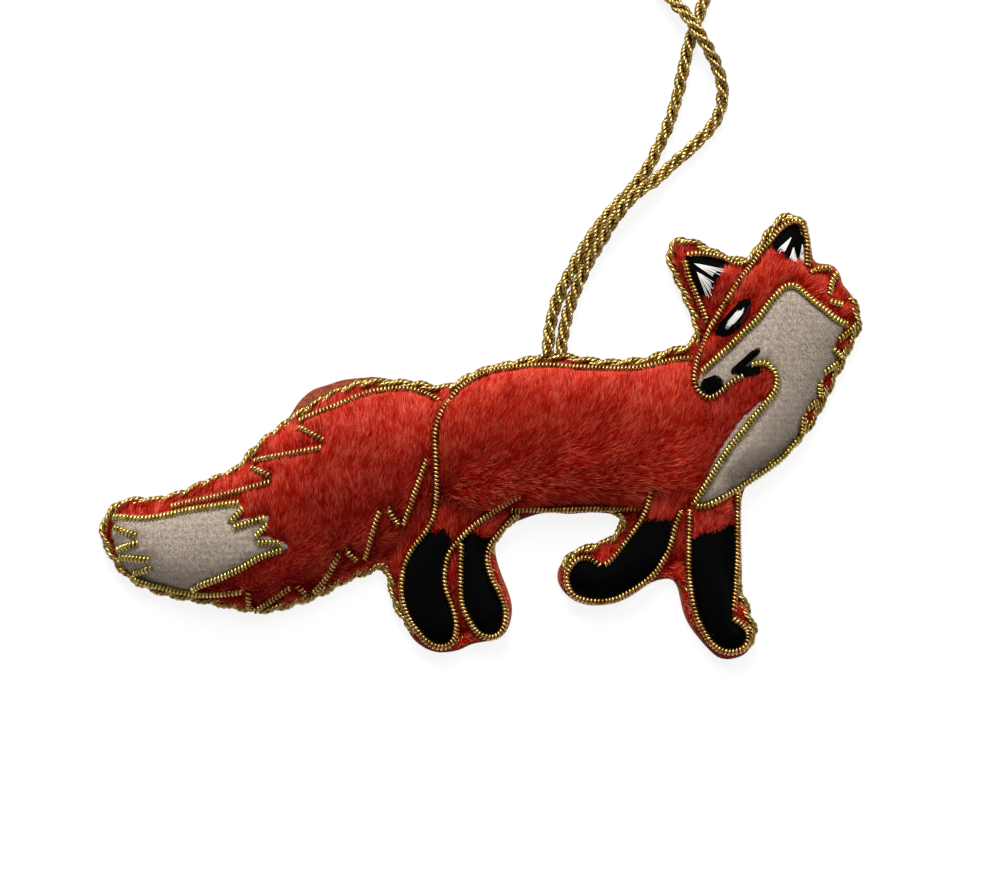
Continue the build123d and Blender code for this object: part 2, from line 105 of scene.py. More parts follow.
# %% Objects
def linked(name, data):
    """A new object in the scene."""
    made = bpy.data.objects.new(name, data)
    bpy.context.scene.collection.objects.link(made)
    return made


def piece(name, data, material, replaces=()):
    """An object with its finish, which rides on the body and stands for the nodes it replaces."""
    made = linked(name, data)
    data.materials.append(material)
    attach(made, "root")
    if replaces:
        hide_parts(*replaces)
    print("piece", name)
    return made


def mesh_from(shape, name, smooth=True):
    """Turns a bmesh into mesh data with its faces turned outwards."""
    bmesh.ops.recalc_face_normals(shape, faces=shape.faces)
    data = bpy.data.meshes.new(name)
    shape.to_mesh(data)
    shape.free()
    for face in data.polygons:
        face.use_smooth = smooth
    return data


# %% Colours and shader nodes
def linear(hex_colour):
    """An sRGB colour such as C8341F as the linear values that Blender renders with."""
    values = [int(hex_colour[i:i + 2], 16) / 255 for i in (0, 2, 4)]
    return [v / 12.92 if v <= 0.04045 else ((v + 0.055) / 1.055) ** 2.4 for v in values] + [1.0]


def feed(node, inputs):
    """Gives a node's inputs their values and links."""
    for key, value in inputs.items():
        if isinstance(value, bpy.types.NodeSocket):
            node.id_data.links.new(value, node.inputs[key])
        else:
            node.inputs[key].default_value = value


def add(owner, kind, inputs=None, **settings):
    """Adds one node to a material or a node tree, with its settings, values and links."""
    node = getattr(owner, "node_tree", owner).nodes.new(kind)
    for key, value in settings.items():
        setattr(node, key, value)
    feed(node, inputs or {})
    return node


def new_material(name, inputs):
    """A material with one Principled shader, whose plain inputs get their values directly."""
    material = bpy.data.materials.new(name)
    material.use_nodes = True
    shader = material.node_tree.nodes["Principled BSDF"]
    feed(shader, inputs)
    print("material", name)
    return material, shader


def ramp(material, factor, stops):
    """A colour ramp through hex colours at their positions."""
    node = add(material, "ShaderNodeValToRGB", {"Fac": factor})
    while len(node.color_ramp.elements) < len(stops):
        node.color_ramp.elements.new(0.5)
    for element, (position, colour) in zip(node.color_ramp.elements, stops):
        element.position = position
        element.color = linear(colour)
    return node.outputs["Color"]


def maths(owner, operation, *values):
    """The result of a math node."""
    return add(owner, "ShaderNodeMath", dict(enumerate(values)), operation=operation).outputs[0]


def mottling(material, grain, detail):
    """Noise that stays with the object, with spots of about one grain."""
    where = add(material, "ShaderNodeTexCoord").outputs["Object"]
    return add(material, "ShaderNodeTexNoise",
               {"Vector": where, "Scale": 1 / grain, "Detail": detail}).outputs["Fac"]


print("helpers ready")

# %% [markdown]
# ## Camera
# The ornament lies on its back and the photograph looks straight down on it from arm's length. A
# long lens from 0.6 m keeps the small swelling of perspective that a phone gives at that distance.

# %% Camera
PHOTO_WIDTH = 1000
PIXEL = FOX_LENGTH / 765  # the fox is 765 pixels long
CAMERA_HEIGHT = 600 * MM
SENSOR_WIDTH = 36
camera_data = bpy.data.cameras.new("camera")
camera_data.sensor_width = SENSOR_WIDTH
camera_data.lens = SENSOR_WIDTH * (CAMERA_HEIGHT - CORD_CENTRE_HEIGHT) / (PHOTO_WIDTH * PIXEL)
camera = linked("camera", camera_data)
camera.location = (19.5 * PIXEL, -3.5 * PIXEL, CAMERA_HEIGHT)
bpy.context.scene.camera = camera
bpy.context.scene.view_settings.view_transform = "Standard"
print("lens", round(camera_data.lens, 1), "mm")

# %% [markdown]
# ## Lines and strands
# Everything that shines on this fox is wire or yarn laid along a line. A line could be a row of
# straight edges, but its corners would show, so each goes through a smooth NURBS spline first. The
# strands then wind round the smooth line.

# %% Smooth lines
def curve_from(name, lines, kind, closed):
    """Curve data with one spline for each line."""
    data = bpy.data.curves.new(name, "CURVE")
    data.dimensions = "3D"
    for line in lines:
        spline = data.splines.new(kind)
        spline.points.add(len(line) - 1)
        for target, point in zip(spline.points, line):
            target.co = (*point, 1.0)
        spline.use_cyclic_u = closed
    return data


def as_mesh(curve, name):
    """A curve as a mesh."""
    holder = linked("holder", curve)
    data = bpy.data.meshes.new_from_object(holder)
    bpy.data.objects.remove(holder)
    data.name = name
    return data


def rounded(points, closed=False):
    """The points along a smooth curve that has these as its control points."""
    curve = curve_from("line", [points], "NURBS", closed)
    curve.resolution_u = 12
    curve.splines[0].order_u = 3
    curve.splines[0].use_endpoint_u = not closed
    flat = as_mesh(curve, "line")
    smooth = [vertex.co.copy() for vertex in flat.vertices]
    bpy.data.meshes.remove(flat)
    return smooth


def evenly(points, step, closed=False):
    """Points at even steps along a line."""
    track = points + [points[0]] if closed else points
    runs = [(b - a).length for a, b in zip(track, track[1:])]
    total = sum(runs)
    count = max(2, round(total / step))
    spread, done, i = [], 0.0, 0
    for k in range(count + (0 if closed else 1)):
        wanted = min(total * k / count, total - 1e-9)
        while i < len(runs) - 1 and done + runs[i] < wanted:
            done += runs[i]
            i += 1
        spread.append(track[i].lerp(track[i + 1], (wanted - done) / max(runs[i], 1e-12)))
    return spread


def smooth_line(points, step, closed=False):
    return evenly(rounded(points, closed) if len(points) > 2 else points, step, closed)


def length_of(points):
    return sum((b - a).length for a, b in zip(points, points[1:]))


# %% Strands round a line
def wound(points, radius, pitch, start=0.0, closed=False):
    """A helix round a line, with one turn for every pitch of the line's length."""
    last = len(points) - 1
    turns = length_of(points) / pitch
    if closed:
        turns = round(turns)
    coil = []
    for i, point in enumerate(points):
        before = points[i - 1] if i or closed else point
        after = points[(i + 1) % len(points)] if i < last or closed else point
        along = (after - before).normalized()
        side = along.cross(UP).normalized()
        above = side.cross(along)
        angle = start + math.tau * turns * i / (last + (1 if closed else 0))
        coil.append(point + radius * (math.cos(angle) * side + math.sin(angle) * above))
    return coil


def wires(name, lines, thickness, closed=False, sides=0):
    """Curve data from many lines, all of one thickness."""
    data = curve_from(name, lines, "POLY", closed)
    data.bevel_depth = thickness / 2
    data.bevel_resolution = sides
    data.use_fill_caps = True
    for spline in data.splines:
        spline.use_smooth = True
    return data


def strung(name, lines, thickness, material, replaces=(), sides=0):
    """A piece that is made of many wires or threads."""
    piece(name, wires(name, lines, thickness, sides=sides), material, replaces)


print("line helpers ready")

# %% [markdown]
# ## Metal finishes
# Purl and cord are gilt: a thin bright coat on copper wire or on foil wrapped round yarn. Gold
# reflects yellow, so the base colour carries all of it, and the turns of the wire break the
# reflection into dots. The antique cord is darker, because its foil is crinkled and tarnished in
# the grooves.

# %% Gilt wire and antique cord
def metal(name, dark, light, rough, grain):
    """Gilt metal whose tarnish varies from grain to grain."""
    material, shader = new_material(name, {"Metallic": 1.0, "Roughness": rough})
    tarnish = mottling(material, grain, 3.0)
    feed(shader, {"Base Color": ramp(material, tarnish, [(0.35, dark), (0.62, light)])})
    return material


gilt_wire = metal("gilt_purl_wire", "86622A", "D2A968", 0.3, 1.6 * MM)
pale_gilt_wire = metal("pale_gilt_purl_wire", "A08A30", "DCC878", 0.3, 1.6 * MM)
antique_cord = metal("antique_gilt_cord", "5C440E", "CFB26C", 0.32, 0.5 * MM)

# %% [markdown]
# ## Hanging loop
# The loop is about 19 cm of limp cord, three ply of metal yarn twisted together, that goes from
# behind the edge cord up to a bight and back. It could be one plain tube, but the light catches
# every thread of the twist. Its legs touch, then cross, and the part above the picture's frame is
# put where such a loop falls by itself.

# %% Route of the loop
REST_HEIGHT = 0.35 * MM
# Across, up, and the height in cord diameters
LOOP = trace(88,106,0.7, 89,136,0.58, 97,168,0.5, 110,199,0.5, 126,229,0.5, 144,258,0.5,
    161,281,0.5, 177,300,0.5, 191,313,0.5, 203,327,0.5, 217,346,0.5, 233,376,0.5, 249,412,0.5,
    258,445,0.5, 265,478,0.5, 272,510,0.5, 281,536,0.5, 291,562,0.5, 300,592,0.5, 303,622,0.5,
    297,656,0.5, 277,684,0.5, 246,695,0.5, 216,685,0.5, 199,659,0.5, 202,627,0.5, 221,598,0.6,
    246,573,0.9, 264,553,1.4, 278,533,1.8, 290,514,1.8, 305,490,1.1, 316,462,0.6, 317,432,0.5,
    304,403,0.5, 280,379,0.5, 250,353,0.6, 230,334,0.9, 210,320,1.3, 192,305,1.45, 175,283,1.3,
    159,256,0.8, 141,226,0.7, 126,194,0.6, 115,162,0.5, 107,132,0.58, 105,106,0.7, each=3)
loop_route = [place(across, up, height * LOOP_CORD_DIAMETER + REST_HEIGHT)
              for across, up, height in LOOP]
loop_line = evenly(rounded(loop_route), 0.28 * MM)
loop_length = length_of(loop_line)
print("the loop's cord is", round(loop_length / MM), "mm long")

# %% Ply of yarn, each of three metal threads
PLY_RADII = {2: 3.7, 3: 4.1}  # how many make the cord's diameter, for two ply and for three
THREADS = 3
THREAD_FULLNESS = 1.02
CRINKLE = 0.08
CRINKLE_LENGTH = 1.6 * MM
LOOP_FULLNESS = 1.2


def rope(name, node, line, ply, ply_pitch, diameter, thread_pitch, closed=False):
    """Cord along a line: ply wound round the line, and metal threads round each ply."""
    ply_radius = diameter / PLY_RADII[ply]
    thread = ply_radius * THREAD_FULLNESS
    strands = []
    for k in range(ply):
        core = wound(line, diameter / 2 - ply_radius, ply_pitch, math.tau * k / ply, closed)
        apart = Vector((7 * k, 0, 0))
        core = [point + CRINKLE * diameter * noise.noise_vector(point / CRINKLE_LENGTH + apart)
                for point in core]
        for m in range(THREADS):
            strands.append(wound(core, ply_radius - thread / 2, thread_pitch,
                                 math.tau * m / THREADS, closed))
    data = as_mesh(wires(name, strands, thread, closed, sides=1), name)
    print(name, "triangles", sum(len(face.vertices) - 2 for face in data.polygons))
    return piece(name, data, antique_cord, [node])


hanging_loop = rope("hanging_loop_cord", "hanging_loop", loop_line, 3, 8.0 * MM,
                    LOOP_FULLNESS * LOOP_CORD_DIAMETER, -2.5 * MM)

# %% [markdown]
# ## Outline and edge cord
# The outline was read from the photograph point by point, clockwise from the tip of the tail. The
# edge cord is sewn to the seam just inside it, so its centre line is the outline moved in by half
# the cord. Moving each point square to its neighbours' line keeps the spacing even, and a spline
# through the moved points rounds the corners as a real cord does.

# %% Outline of the fox
OUTLINE = trace(-500,-132, -498,-110, -488,-99, -482,-88, -460,-80, -420,-79, -400,-73, -380,-66,
    -370,-60, -320,-42, -303,-17, -290,-6, -275,6, -265,14, -255,22, -245,31, -220,46, -200,58,
    -180,67, -160,73, -140,77, -110,75, -80,73, -65,69, -50,67, -40,70, -26,76, -19,82, -2,88,
    11,94, 37,98, 51,102, 75,107, 93,110, 112,109, 126,106, 145,103, 164,101, 183,101, 199,103,
    216,104, 230,109, 241,115, 258,118, 272,121, 279,134, 275,149, 268,164, 258,189, 250,205,
    243,222, 240,236, 245,252, 258,260, 272,261, 285,257, 299,249, 313,241, 327,237, 338,233,
    349,234, 355,244, 364,257, 378,277, 388,287, 399,293, 415,290, 424,283, 431,272, 433,246,
    434,231, 440,224, 456,224, 464,220, 471,210, 473,197, 481,189, 490,182, 497,168, 501,151,
    498,134, 489,116, 482,100, 475,85, 465,68, 460,55, 453,40, 443,22, 435,8, 427,-2, 418,-12,
    408,-23, 396,-34, 382,-44, 368,-54, 355,-62, 345,-70, 341,-85, 340,-110, 341,-150, 342,-180,
    345,-203, 351,-217, 358,-240, 364,-252, 364,-262, 358,-276, 348,-286, 335,-292, 320,-294,
    308,-290, 295,-277, 283,-263, 272,-248, 265,-232, 261,-213, 258,-198, 251,-188, 238,-188,
    222,-193, 210,-202, 195,-212, 178,-220, 158,-223, 140,-223, 122,-217, 108,-205, 100,-191,
    101,-175, 107,-161, 118,-150, 132,-143, 148,-139, 162,-135, 173,-127, 181,-117, 178,-108,
    165,-102, 140,-101, 115,-104, 95,-101, 75,-103, 58,-109, 42,-119, 30,-130, 22,-145, 20,-160,
    27,-182, 34,-198, 40,-215, 42,-230, 38,-250, 30,-263, 16,-269, 0,-271, -14,-274, -26,-281,
    -40,-284, -58,-285, -75,-278, -90,-266, -101,-250, -111,-234, -119,-218, -122,-203, -125,-186,
    -129,-177, -137,-180, -148,-186, -165,-190, -182,-200, -202,-211, -222,-220, -245,-227,
    -265,-233, -288,-236, -312,-232, -340,-227, -365,-222, -390,-218, -415,-213, -440,-203,
    -460,-193, -474,-180, -485,-165, -494,-148)
outline = [place(*read) for read in OUTLINE]

# Where the cord is sewn underneath the purl: ear and cheek tuft, belly, and under the paws
TUCKED = trace(428,488,186,262, 30,165,-116,-84, 94,240,-236,-166, -92,36,-300,-246,
    286,352,-300,-256, 238,300,-285,-180, 14,46,-262,-150, 336,347,-190,-66, each=4)
TUCKED_HEIGHT = 1.2 * MM


def tucked(read):
    """True where an outline reading lies in one of the boxes of tucked cord."""
    return any(a <= read[0] <= b and c <= read[1] <= d for a, b, c, d in TUCKED)


def moved_in(distance, tucked_distance):
    """The outline moved towards its inside, by a distance of its own where the cord is tucked."""
    moved = []
    for i, point in enumerate(outline):
        along = (outline[(i + 1) % len(outline)] - outline[i - 1]).normalized()
        reach = tucked_distance if tucked(OUTLINE[i]) else distance
        moved.append(point + reach * Vector((along.y, -along.x, 0)))
    return moved


edge_controls = moved_in(EDGE_CORD_DIAMETER / 2, 1.5 * MM)
for read, point in zip(OUTLINE, edge_controls):
    point.z = TUCKED_HEIGHT if tucked(read) else CORD_CENTRE_HEIGHT
edge_line = smooth_line(edge_controls, 0.3 * MM, closed=True)
print("the edge cord is", round(length_of(edge_line) / MM), "mm long")

# %% Twisted cord all the way round the edge
rope("edge_cord_twist", "edge_cord", edge_line, 2, 7.6 * MM, EDGE_CORD_DIAMETER, 3.0 * MM,
     closed=True)

# %% [markdown]
# ## Padded front
# Under the pile is one plush cloth over loose stuffing, drawn in along the edge and pulled down
# where the purl wire is sewn through it. It could be inflated by a cloth simulation, but the seam
# lines would have to be sewn again each time. Here a fine sheet takes its heights from the packed
# lobes, is smoothed until the lobes run into each other, and sinks a little along every wire.

# %% Lines of the purl wire
PURL = {
    "tail_tip": [(-480,-107, -460,-109, -440,-110, -420,-107, -400,-103, -380,-98, -360,-95,
        -340,-92, -317,-89), (-311,-96, -328,-114), (-323,-121, -283,-109), (-279,-117, -295,-133),
        (-292,-141, -261,-141),
        (-261,-151, -280,-156, -295,-163, -310,-173, -325,-180, -345,-189, -360,-194, -372,-199,
        -378,-203), (-479,-121, -450,-132), (-448,-141, -474,-150), (-472,-160, -434,-163),
        (-431,-174, -454,-182),
        (-453,-189, -440,-194, -420,-198, -400,-203, -380,-207, -360,-209, -340,-208, -320,-206,
        -312,-204)],
    "tail_stripe": [(-405,-94, -380,-88, -350,-82, -320,-75, -300,-69, -275,-62),
        (-300,-43, -275,-54), (-209,-17, -230,-21, -260,-27, -280,-31, -298,-35),
        (-238,10, -207,-6), (-304,-206, -303,-227), (-296,-230, -270,-214, -251,-200),
        (-240,-197, -228,-208)],
    "tail_top": [(-237,18, -220,26, -200,34, -180,42, -160,51, -140,57, -120,60, -100,61, -85,59,
        -75,55, -62,49, -52,44)],
    "tail_root": [(-71,-32, -101,-117), (-108,-117, -122,-96), (-133,-100, -152,-162),
        (-162,-164, -177,-150), (-186,-156, -197,-178, -207,-193, -220,-206)],
    "near_hind_leg": [(-42,43, -45,40, -52,28, -57,16, -60,0, -59,-20, -58,-40, -57,-61, -57,-80,
        -59,-95, -62,-109, -68,-122, -78,-135, -88,-147, -95,-159, -100,-172, -103,-188, -103,-200,
        -102,-213, -99,-225, -95,-236, -89,-247, -81,-258, -73,-267, -64,-274, -55,-277, -47,-277,
        -39,-273, -33,-264, -31,-252, -32,-243, -35,-230, -41,-213, -46,-202, -47,-190, -47,-180,
        -45,-167, -41,-154, -36,-147, -30,-139, -22,-131, -14,-123, -5,-115, 5,-108, 15,-101,
        25,-94, 35,-88, 50,-79)],
    "back": [(-42,43, -33,55, -21,66, -10,73, 4,80, 18,85, 35,87, 51,89, 75,91, 98,91, 117,89,
        133,88, 157,87, 180,86, 204,87, 220,90, 239,95, 258,99, 277,101)],
    "far_hind_leg": [(-25,-142, -26,-165, -26,-200, -26,-213, -23,-226, -19,-235, -13,-246,
        -7,-255, 0,-261, 8,-264, 16,-265, 24,-261, 29,-255, 32,-246, 33,-235, 32,-226, 28,-215,
        24,-205, 20,-198, 15,-190, 12,-181, 9,-170, 8,-160, 9,-151, 13,-143, 19,-135, 26,-127,
        33,-118, 40,-109, 46,-103)],
    "belly": [(40,-98, 60,-96, 80,-97, 100,-98, 120,-97, 140,-96, 175,-96, 208,-96)],
    "near_foreleg": [(222,-74, 221,-85, 218,-96, 213,-108, 206,-119, 199,-129, 191,-140, 184,-149,
        176,-158, 168,-167, 163,-170),
        (157,-171, 150,-166, 142,-162, 133,-161, 124,-165, 117,-173, 113,-183, 113,-193, 116,-202,
        122,-210, 132,-215, 143,-217, 155,-218, 168,-217, 180,-214, 192,-207, 203,-201, 214,-193,
        224,-184, 233,-174, 240,-163, 246,-153, 250,-140, 253,-127, 256,-115, 260,-105, 263,-99)],
    "far_foreleg": [(274,-98, 274,-115, 273,-135, 273,-156, 273,-171, 274,-187, 276,-200, 277,-212,
        280,-225, 283,-238, 288,-250, 294,-260, 301,-271, 310,-279, 319,-283, 329,-284, 338,-282,
        346,-277, 350,-267, 350,-258, 345,-250, 338,-245, 329,-239),
        (331,-230, 332,-217, 334,-202, 335,-181, 336,-160, 336,-120, 336,-100, 336,-85, 336,-72)],
    "chest": [(355,92, 363,94, 372,95, 379,91, 385,84, 388,76, 388,69, 386,60, 381,51, 374,43,
        367,34, 360,26, 352,17, 345,6, 338,-1, 330,-11, 323,-21, 316,-32, 309,-42, 303,-52,
        297,-62, 291,-72, 285,-82, 280,-91),
        (283,-93, 293,-94, 303,-90, 315,-83, 327,-76, 337,-70, 345,-64, 360,-55, 373,-46, 385,-38,
        397,-27, 407,-16, 415,-5)],
    "ruff": [(421,2, 423,27), (428,35, 440,45), (444,50, 444,71), (450,82, 468,95),
        (472,101, 470,108, 460,113), (469,125, 490,142)],
    "face": [(344,77, 338,74, 330,69, 323,64, 316,56, 308,51, 301,47, 292,51, 284,58, 280,67,
        279,77, 281,86, 283,95, 286,104, 291,114, 295,123, 299,134, 304,143, 309,152, 314,162,
        319,171, 325,180, 331,190, 338,200, 343,208, 351,217, 356,223, 362,232, 369,241, 377,250,
        384,258, 391,268, 399,274, 406,279, 414,280, 421,277, 424,270, 426,261, 427,252, 427,243,
        427,233, 427,221)],
    "cheek": [(290,83, 297,88, 308,99, 318,108, 327,116, 336,126, 345,135, 355,144, 364,153,
        371,163, 379,175, 388,184, 395,192, 402,196, 412,196, 419,190, 428,182, 437,174, 447,167,
        456,160, 465,152, 474,147, 481,145), (432,212, 439,216, 448,218, 459,218),
        (467,212, 460,204, 457,193, 456,184), (457,175, 474,170)],
    "near_ear": [(343,223, 334,223, 325,228, 316,233, 307,234, 297,236, 288,237, 279,237, 271,236),
        (268,228, 271,219, 273,209, 277,198, 282,189, 285,180, 289,171, 293,162, 296,153,
        298,149)],
}
print("purl lengths", sum(len(lines) for lines in PURL.values()))

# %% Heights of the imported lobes
LEGS = ["near_hind_leg", "far_hind_leg", "near_foreleg", "far_foreleg"]
EARS = ["near_ear", "far_ear"]
LOBES = ["body", "tail", "head", *LEGS, *EARS]
depsgraph = bpy.context.evaluated_depsgraph_get()
lobe_trees = {name: BVHTree.FromObject(frame["nodes"][name + "_plush"], depsgraph)
              for name in LOBES}
RIM_HEIGHT = 1.5 * MM


def drop(tree, point, otherwise=RIM_HEIGHT):
    """The height at which something dropped at a point would meet the faces of a tree."""
    hit = tree.ray_cast(Vector((point.x, point.y, 0.05)), DOWN)[0]
    return otherwise if hit is None else hit.z


def packed_height(point):
    """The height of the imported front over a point, and the lobe that it belongs to."""
    best, found = RIM_HEIGHT, None
    for name, tree in lobe_trees.items():
        height = drop(tree, point)
        if height > best:
            best, found = height, name
    return best, found


def inside(point, edge):
    """True where a point lies inside a closed line."""
    within = False
    for a, b in zip(edge, edge[1:] + edge[:1]):
        if (a.y > point.y) != (b.y > point.y):
            if point.x < a.x + (point.y - a.y) * (b.x - a.x) / (b.y - a.y):
                within = not within
    return within


print("lobes", len(lobe_trees))

# %% One smooth sheet over all the lobes
CELL = 0.5 * MM
PILE_DEPTH = 0.5 * MM
SHEET_SETBACK = 1.3 * MM
TUCKED_SETBACK = 0.5 * MM
LOBE_PASSES = 14


def box(points):
    """The lower left and the upper right corner of the box round some points."""
    return (Vector((min(p.x for p in points), min(p.y for p in points), 0)),
            Vector((max(p.x for p in points), max(p.y for p in points), 0)))


def relax(shape, verts, passes, **axes):
    """Draws vertices halfway to the middle of their neighbours, pass by pass."""
    for _ in range(passes):
        bmesh.ops.smooth_vert(shape, verts=verts, factor=0.5, **axes)


def trimmed_grid(edge, cell):
    """A flat grid of quads trimmed to a closed line."""
    low, high = box(edge)
    columns = math.ceil((high.x - low.x) / cell)
    rows = math.ceil((high.y - low.y) / cell)
    shape = bmesh.new()
    bmesh.ops.create_grid(shape, x_segments=columns, y_segments=rows, size=0.5)
    bmesh.ops.scale(shape, vec=(columns * cell, rows * cell, 1), verts=shape.verts)
    bmesh.ops.translate(shape, vec=(low + high) / 2, verts=shape.verts)
    outside = [face for face in shape.faces if not inside(face.calc_center_median(), edge)]
    bmesh.ops.delete(shape, geom=outside, context="FACES")
    rim = [vertex for vertex in shape.verts if vertex.is_boundary]
    relax(shape, rim, 2, use_axis_x=True, use_axis_y=True)
    return shape


sheet = trimmed_grid(moved_in(SHEET_SETBACK, TUCKED_SETBACK), CELL)
for vertex in sheet.verts:
    vertex.co.z = RIM_HEIGHT if vertex.is_boundary else packed_height(vertex.co)[0] - PILE_DEPTH
inner = [vertex for vertex in sheet.verts if not vertex.is_boundary]
relax(sheet, inner, LOBE_PASSES, use_axis_z=True)
smooth_tree = BVHTree.FromBMesh(sheet)
print("sheet points", len(sheet.verts), "of which inside the rim", len(inner))

# %% [markdown]
# ## From the photograph to the cloth
# The lines and patches were read from a picture taken from 0.6 m, in which the crown of the fox is
# nearer and so looks a little larger than its edge. Each reading is brought back towards the point
# under the lens by what its height adds, or the face would come out 1 mm too far to the right.

# %% Readings brought down to the cloth
def seen(across, up, lift):
    """The place of something on the front that shows at this reading."""
    point = place(across, up)
    height = lift + drop(smooth_tree, point)
    below = camera.location.xy.to_3d()
    return below + (point - below) * (CAMERA_HEIGHT - height) / (CAMERA_HEIGHT - CORD_CENTRE_HEIGHT)


def seen_line(numbers, lift=0.6 * MM):
    """The places of a line of readings."""
    return [seen(*read, lift) for read in trace(*numbers)]


def near_tree(points):
    """A search tree that finds the nearest of some points."""
    tree = kdtree.KDTree(len(points))
    for i, point in enumerate(points):
        tree.insert(point, i)
    tree.balance()
    return tree


purl_lines = {name: [smooth_line(seen_line(line, 1.5 * MM), 0.1 * MM) for line in lines]
              for name, lines in PURL.items()}
wire_tree = near_tree([point for lines in purl_lines.values() for line in lines for point in line])
print("purl wire", round(sum(length_of(l) for ls in purl_lines.values() for l in ls) / MM), "mm")

# %% The cloth sinks along every wire, and stays over the tucked cord
SINK = 0.7 * MM
SINK_WIDTH = 1.1 * MM
LEAST_PADDING = 0.2 * MM
COVER_HEIGHT = 2.4 * MM
COVER_CREST = 0.9 * MM
COVER_REACH = 1.6 * MM
for vertex in inner:
    away = wire_tree.find(vertex.co.xy.to_3d())[2]
    vertex.co.z -= SINK * math.exp(-(away / SINK_WIDTH) ** 2)
    vertex.co.z = max(vertex.co.z, BACK_THICKNESS + LEAST_PADDING)
relax(sheet, inner, 2, use_axis_z=True)

tucked_cord = [point.xy.to_3d() for point, read in zip(edge_controls, OUTLINE) if tucked(read)]
tucked_cord = [a.lerp(b, t / 4) for a, b in zip(tucked_cord, tucked_cord[1:]) for t in range(4)
               if (b - a).length < 6 * MM]
for vertex in sheet.verts:
    for cord_point in tucked_cord:
        away = (vertex.co.xy.to_3d() - cord_point).length
        if away < COVER_REACH:
            vertex.co.z = max(vertex.co.z, COVER_HEIGHT - max(0.0, away - COVER_CREST))
            break
print("highest", round(max(v.co.z for v in sheet.verts) / MM, 1), "mm")

# %% Close the cushion at its seam and down to the felt back
raised = bmesh.ops.extrude_face_region(sheet, geom=list(sheet.faces))
lifted = {v for v in raised["geom"] if isinstance(v, bmesh.types.BMVert)}
for vertex in sheet.verts:
    if vertex not in lifted:
        vertex.co.z = BACK_THICKNESS
# Blender makes the walls in a new order on each run, and the pile would grow differently on them
sheet.verts.index_update()
sheet.faces.index_update()
walls = [face for face in sheet.faces if len({v in lifted for v in face.verts}) == 2]
walls.sort(key=lambda face: sorted(v.index for v in face.verts))
for index, face in zip(sorted(face.index for face in walls), walls):
    face.index = index
sheet.faces.sort()
front_data = mesh_from(sheet, "plush_front")
front_tree = BVHTree.FromPolygons([v.co for v in front_data.vertices],
                                  [tuple(face.vertices) for face in front_data.polygons])


def on_front(point, lift=0.0):
    """The point on the plush cloth that is over or under this one, raised by a little."""
    return Vector((point.x, point.y, drop(front_tree, point) + lift))


print("front faces", len(front_data.polygons))

# %% [markdown]
# ## Plush cloth and felt
# Plush is a knitted ground with a brushed polyester pile. The ground is dark red where the pile
# parts. Felt is pressed wool: matt, with a slight pattern of fibres that shows as mottling. A
# picture of cloth could be laid on both, but noise has no seams and no end.

# %% Ground cloth and felts
KNIT_ROW = 1.2 * MM


def cloth(name, dark, light, grain, sheen):
    """Matt cloth with a mottled colour and a fibre bump."""
    material, shader = new_material(name, {"Roughness": 0.95, "Sheen Weight": sheen,
                                           "Specular IOR Level": 0.2})
    mottle = mottling(material, grain, 5.0)
    where = add(material, "ShaderNodeTexCoord").outputs["Object"]
    rows = add(material, "ShaderNodeTexWave", {"Vector": where, "Distortion": 2.0,
               "Scale": math.tau / (20 * KNIT_ROW)}, bands_direction="Y")
    factor = maths(material, "MULTIPLY_ADD", rows.outputs["Fac"], 0.1, mottle)
    bump = add(material, "ShaderNodeBump", {"Height": mottle, "Strength": 0.35,
                                            "Distance": 0.2 * MM})
    feed(shader, {"Base Color": ramp(material, factor, [(0.35, dark), (0.75, light)]),
                  "Normal": bump.outputs["Normal"]})
    return material


plush_ground = cloth("knitted_plush_ground", "7A0E05", "A01C0C", 1.2 * MM, 0.0)
back_felt = cloth("pressed_red_felt", "7C3622", "A05238", 0.7 * MM, 0.1)
pale_felt = cloth("pressed_pale_felt", "86796D", "AA9C8F", 0.6 * MM, 0.1)

front = piece("plush_front", front_data, plush_ground,
              ["stuffing"] + [name + "_plush" for name in LOBES])

# %% Felt back, which peeks out at the top of the tail and beside the forefoot
PEEK = trace(-245,32, -237,45, -220,60, -205,64, -190,69, -178,73, -150,75, -140,77)
first, last = OUTLINE.index((-245, 31)), OUTLINE.index((-110, 75))
back_corners = moved_in(0.5 * MM, 0.0)
back_corners[first:last] = [place(*read) for read in PEEK]
back_line = smooth_line(back_corners, 0.8 * MM, closed=True)
back_shape = bmesh.new()
base = back_shape.faces.new([back_shape.verts.new((p.x, p.y, 0)) for p in back_line])
raised = bmesh.ops.extrude_face_region(back_shape, geom=[base])
bmesh.ops.translate(back_shape, vec=(0, 0, BACK_THICKNESS),
                    verts=[v for v in raised["geom"] if isinstance(v, bmesh.types.BMVert)])
bmesh.ops.triangulate(back_shape, faces=back_shape.faces)
piece("felt_back", mesh_from(back_shape, "felt_back", smooth=False), back_felt,
      ["back_panel"])

# %% [markdown]
# ## Purl wire
# Purl is fine gilt wire wound into a close spring, cut to length and threaded on like a bead. It
# could be a ribbed tube, but the light runs along each turn of a real coil, so every turn is
# modelled: one helix per length, lying on the cloth and following its rise and fall.

